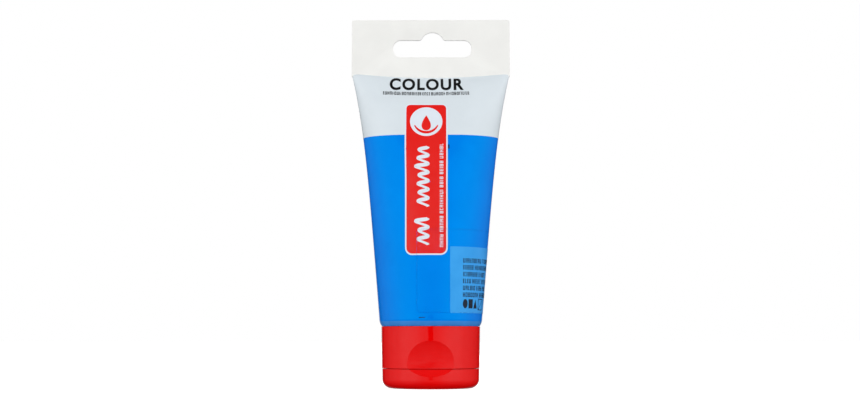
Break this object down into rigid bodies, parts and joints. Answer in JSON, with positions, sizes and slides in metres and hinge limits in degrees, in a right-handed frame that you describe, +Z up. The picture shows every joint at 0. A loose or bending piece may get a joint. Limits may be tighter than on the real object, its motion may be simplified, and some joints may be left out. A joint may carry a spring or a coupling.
{
  "type": "paint tube",
  "caption": "Soft collapsible paint tube, flattened and sealed at the top with a hang slot, standing on a round flip-top cap with a thumb scoop.",
  "frame": {"origin": "centre of the closed lid's flat end, which the tube stands on", "axes": "+Z up along the tube from the cap to the sealed header; the printed front and the thumb scoop face -Y; the lid's hinge is at +Y; the flat header lies in the XZ plane"},
  "size_m": [0.0626, 0.04, 0.1451],
  "materials": {
    "sleeve_plastic": "smooth glossy film",
    "head_plastic": "translucent satin",
    "seal_foil": "bright foil",
    "paint": "wet paste",
    "label_film": "clear film",
    "cap_plastic": "moulded gloss"
  },
  "bodies": {
    "tube": {"tube_sleeve": "sleeve_plastic", "tube_head": "head_plastic", "neck_foil_seal": "seal_foil", "paint_fill": "paint", "colour_label": "label_film"},
    "cap": {"cap_body": "cap_plastic", "hinge_strap": "cap_plastic", "hinge_spring_left": "cap_plastic", "hinge_spring_right": "cap_plastic"},
    "lid": {"cap_lid": "cap_plastic"}
  },
  "joints": [
    {"name": "cap_turn", "type": "hinge", "parent": "tube", "child": "cap", "pos_m": [0, 0, 0.0136], "axis": [0, 0, 1], "continuous": true},
    {"name": "lid_flip", "type": "hinge", "parent": "cap", "child": "lid", "pos_m": [0, 0.01785, 0.0076], "axis": [1, 0, 0], "range_deg": [0, 150], "deforming": ["hinge_strap", "hinge_spring_left", "hinge_spring_right"]}
  ]
}
